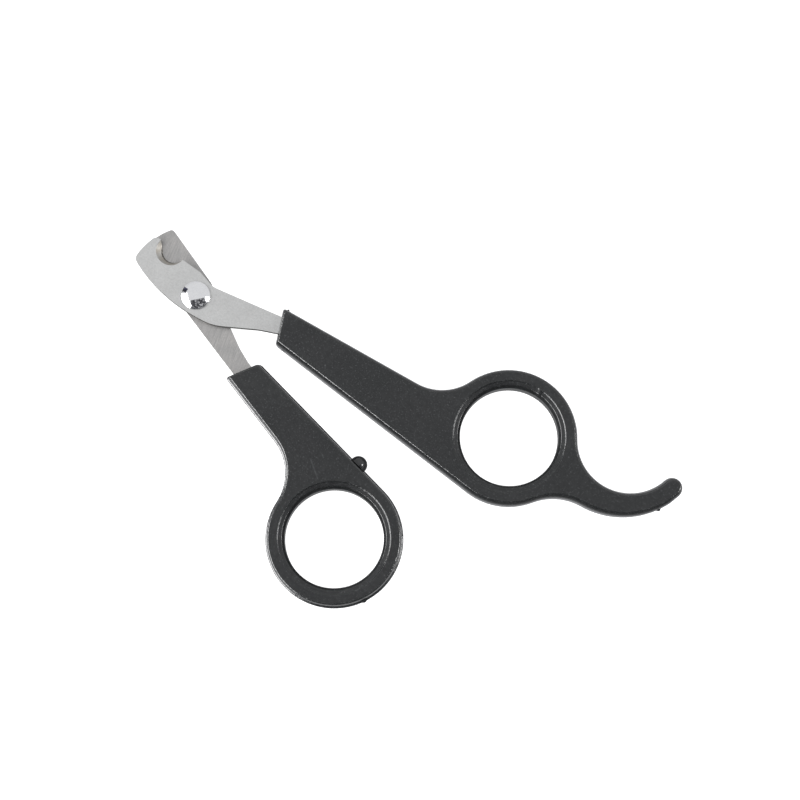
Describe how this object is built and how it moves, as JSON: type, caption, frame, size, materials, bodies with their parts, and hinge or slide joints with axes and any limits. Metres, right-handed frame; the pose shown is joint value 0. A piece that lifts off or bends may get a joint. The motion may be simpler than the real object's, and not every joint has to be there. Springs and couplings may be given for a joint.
{
  "type": "scissor nail clipper",
  "caption": "Scissor-style pet nail clipper: notched steel blades on a domed rivet, plastic handles with finger rings, a finger hook and a stop bumper.",
  "frame": {"origin": "on the pivot axis, at the plane where the two blades slide on each other", "axes": "+Z along the pivot towards the rivet's domed head, +X between the two handles, away from the jaws"},
  "size_m": [0.1271, 0.0767, 0.0064],
  "materials": {
    "blade_steel": "bead-blasted satin stainless steel",
    "rivet_chrome": "mirror-polished chrome",
    "bumper_rubber": "smooth black rubber with a slight gloss",
    "handle_plastic": "fine-grained charcoal moulded plastic, semi-matt"
  },
  "bodies": {
    "rear_lever": {"rear_blade": "blade_steel", "rear_handle": "handle_plastic", "pivot_rivet": "rivet_chrome", "stop_bumper": "bumper_rubber"},
    "front_lever": {"front_blade": "blade_steel", "front_handle": "handle_plastic"}
  },
  "joints": [
    {"name": "jaw_pivot", "type": "hinge", "parent": "rear_lever", "child": "front_lever", "pos_m": [0, 0, 0], "axis": [0, 0, 1], "range_deg": [-8.2, 50]}
  ]
}
